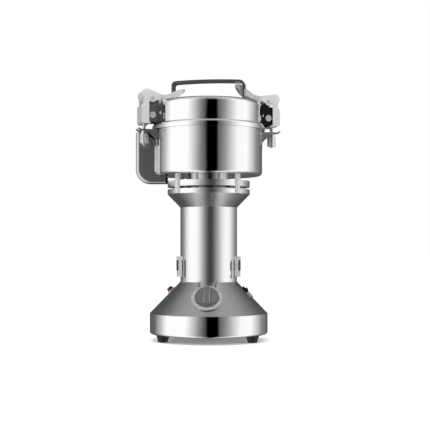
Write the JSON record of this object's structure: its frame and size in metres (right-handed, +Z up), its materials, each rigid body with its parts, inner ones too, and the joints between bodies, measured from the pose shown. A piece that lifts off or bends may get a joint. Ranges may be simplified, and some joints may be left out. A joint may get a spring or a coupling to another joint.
{
  "type": "electric grain mill",
  "caption": "Tabletop grain mill: cone base with timer knob, slim motor column, round grinding bowl and clamped lid with strap handle and toggle latches.",
  "frame": {"origin": "centre of the circle through the feet, on the surface the mill stands on", "axes": "+Z up along the motor shaft, -Y towards the user, where the timer knob is, +X to the user's right"},
  "size_m": [0.2213, 0.1838, 0.3965],
  "materials": {
    "polished_steel": "mirror polished",
    "satin_steel": "satin",
    "hardware_steel": "bright",
    "cast_aluminium": "as cast",
    "lamination_steel": "varnished",
    "copper": "bare",
    "carbon": "matte",
    "black_rubber": "matte",
    "black_plastic": "matte",
    "white_plastic": "gloss",
    "silicone": "soft",
    "dial_plate": "grained",
    "knob_grey": "satin",
    "red_plastic": "gloss"
  },
  "bodies": {
    "base": {"base_skirt": "polished_steel", "bottom_plate": "satin_steel", "feet": "black_rubber", "feet_screws": "hardware_steel", "base_cone": "satin_steel", "cable_gland": "black_plastic", "motor_tube": "polished_steel", "top_flare": "satin_steel", "motor_top_plate": "cast_aluminium", "neck_plate": "polished_steel", "standoff_posts": "polished_steel", "bearing_hub": "satin_steel", "bowl": "polished_steel", "latch_lugs": "satin_steel", "side_duct": "satin_steel", "duct_grommet": "black_rubber", "lid_microswitch": "black_plastic", "lower_end_bracket": "cast_aluminium", "motor_bearings": "hardware_steel", "shaft_seal": "black_rubber", "motor_stator": "lamination_steel", "stator_windings": "copper", "brush_holders": "copper", "carbon_brushes": "carbon", "brush_caps": "black_plastic", "brush_frames": "polished_steel", "timer_pod": "satin_steel", "timer_dial": "dial_plate", "timer_body": "white_plastic", "reset_nut": "hardware_steel", "reset_breaker": "black_plastic", "switch_housing": "black_plastic"},
    "plunger": {"safety_plunger": "white_plastic"},
    "rotor": {"motor_shaft": "hardware_steel", "rotor_core": "lamination_steel", "commutator": "copper", "cooling_fan": "white_plastic", "blade_spacers": "satin_steel", "lower_blade": "satin_steel", "middle_blade": "satin_steel", "upper_blade": "satin_steel", "blade_nut": "satin_steel"},
    "knob": {"timer_knob": "knob_grey"},
    "button": {"reset_button": "red_plastic"},
    "rocker": {"switch_rocker": "white_plastic"},
    "lid": {"lid_shell": "polished_steel", "lid_liner": "satin_steel", "lid_gasket": "silicone", "lid_handle": "polished_steel", "handle_screws": "hardware_steel", "latch_brackets": "satin_steel", "latch_pins": "hardware_steel"},
    "lever_right_body": {"lever_right": "polished_steel"},
    "link_right_body": {"link_right": "polished_steel", "rod_right": "hardware_steel", "nut_right": "hardware_steel"},
    "lever_left_body": {"lever_left": "polished_steel"},
    "link_left_body": {"link_left": "polished_steel", "rod_left": "hardware_steel", "nut_left": "hardware_steel"}
  },
  "joints": [
    {"name": "lid_lift", "type": "slide", "parent": "base", "child": "lid", "axis": [0, 0, 1], "range_m": [0, 0.014]},
    {"name": "right_latch_lever", "type": "hinge", "parent": "lid", "child": "lever_right_body", "pos_m": [0.08651, 0.02481, 0.3642], "axis": [-0.2756, 0.9613, 0], "range_deg": [0, 100.05]},
    {"name": "right_latch_link", "type": "hinge", "parent": "lever_right_body", "child": "link_right_body", "pos_m": [0.09611, 0.02756, 0.36368], "axis": [0.2756, -0.9613, 0], "range_deg": [0, 145.05]},
    {"name": "left_latch_lever", "type": "hinge", "parent": "lid", "child": "lever_left_body", "pos_m": [-0.08651, -0.02481, 0.3642], "axis": [0.2756, -0.9613, 0], "range_deg": [0, 100.05]},
    {"name": "left_latch_link", "type": "hinge", "parent": "lever_left_body", "child": "link_left_body", "pos_m": [-0.09598, -0.02752, 0.36594], "axis": [-0.2756, 0.9613, 0], "range_deg": [0, 145.05]},
    {"name": "safety_plunger_rise", "type": "slide", "parent": "base", "child": "plunger", "axis": [0, 0, 1], "range_m": [0, 0.00301]},
    {"name": "rotor_spin", "type": "hinge", "parent": "base", "child": "rotor", "pos_m": [0, 0, 0.2585], "axis": [0, 0, 1], "continuous": true},
    {"name": "timer_turn", "type": "hinge", "parent": "base", "child": "knob", "pos_m": [0, -0.06581, 0.06661], "axis": [0, -0.716, 0.6981], "range_deg": [0, 300]},
    {"name": "reset_push", "type": "slide", "parent": "base", "child": "button", "axis": [0.716, 0, -0.6981], "range_m": [0, 0.0015], "stiffness_N_per_m": 300},
    {"name": "switch_rock", "type": "hinge", "parent": "base", "child": "rocker", "pos_m": [0.05908, 0, 0.07351], "axis": [0, -1, 0], "range_deg": [0, 18]}
  ],
  "couplings": [
    {"joint": "right_latch_lever", "follows": "lid_lift", "rad_per_m": 124.67},
    {"joint": "right_latch_link", "follows": "lid_lift", "rad_per_m": 180.77},
    {"joint": "left_latch_lever", "follows": "lid_lift", "rad_per_m": 124.67},
    {"joint": "left_latch_link", "follows": "lid_lift", "rad_per_m": 180.77},
    {"joint": "safety_plunger_rise", "follows": "lid_lift", "ratio": 0.21429}
  ]
}
